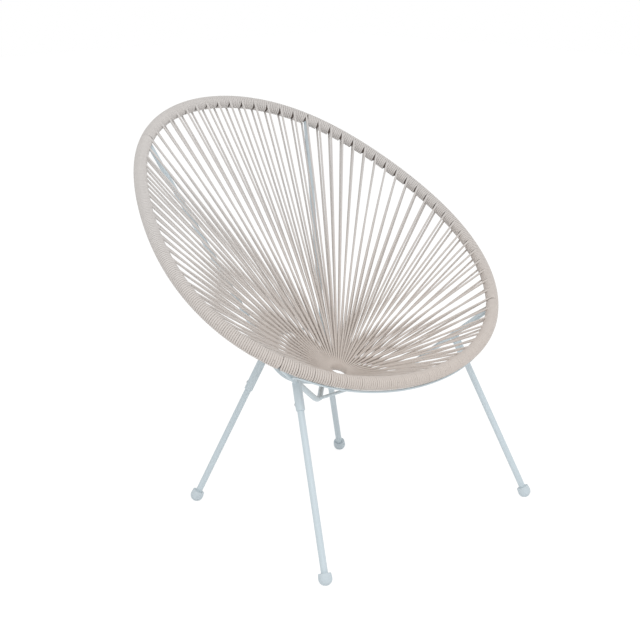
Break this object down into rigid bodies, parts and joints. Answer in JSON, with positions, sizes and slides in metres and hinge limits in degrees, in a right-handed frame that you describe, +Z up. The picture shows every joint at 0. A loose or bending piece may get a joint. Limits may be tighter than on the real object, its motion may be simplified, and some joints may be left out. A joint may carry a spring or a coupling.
{
  "type": "acapulco chair",
  "caption": "Low round lounge chair: a tilted egg-shaped hoop wound with cord, strings drawn to a ring under the seat, bent steel rods and splayed legs.",
  "frame": {"origin": "middle of the footprint, on the floor under the feet", "axes": "+Z up, +X to the sitter's left, +Y to the sitter's back; the seat opens up and towards -Y"},
  "size_m": [0.722, 0.6228, 0.7381],
  "materials": {
    "painted_steel": "satin powder coat, pale grey blue",
    "cord": "round plastic cord, warm grey, slightly glossy",
    "screw": "zinc plated",
    "foot_cap": "matt moulded plastic, pale grey blue"
  },
  "bodies": {
    "root": {"hoop_tube": "painted_steel", "frame_rod_left": "painted_steel", "frame_rod_right": "painted_steel", "front_crossbar": "painted_steel", "rear_crossbar": "painted_steel", "front_bow": "painted_steel", "centre_ring": "painted_steel", "ring_post_rear": "painted_steel", "ring_post_front": "painted_steel", "centre_winding": "cord", "seat_cord_01": "cord", "seat_cord_02": "cord", "seat_cord_03": "cord", "seat_cord_04": "cord", "seat_cord_05": "cord", "seat_cord_06": "cord", "seat_cord_07": "cord", "seat_cord_08": "cord", "seat_cord_09": "cord", "seat_cord_10": "cord", "seat_cord_11": "cord", "seat_cord_12": "cord", "seat_cord_13": "cord", "seat_cord_14": "cord", "seat_cord_15": "cord", "seat_cord_16": "cord", "seat_cord_17": "cord", "seat_cord_18": "cord", "seat_cord_19": "cord", "seat_cord_20": "cord", "leg_socket_front_left": "painted_steel", "leg_socket_front_right": "painted_steel", "leg_socket_rear_left": "painted_steel", "leg_socket_rear_right": "painted_steel", "leg_front_left": "painted_steel", "leg_front_right": "painted_steel", "leg_rear_left": "painted_steel", "leg_rear_right": "painted_steel", "leg_screw_front_left": "screw", "leg_screw_front_right": "screw", "leg_screw_rear_left": "screw", "leg_screw_rear_right": "screw", "foot_cap_front_left": "foot_cap", "foot_cap_front_right": "foot_cap", "foot_cap_rear_left": "foot_cap", "foot_cap_rear_right": "foot_cap"}
  },
  "joints": []
}
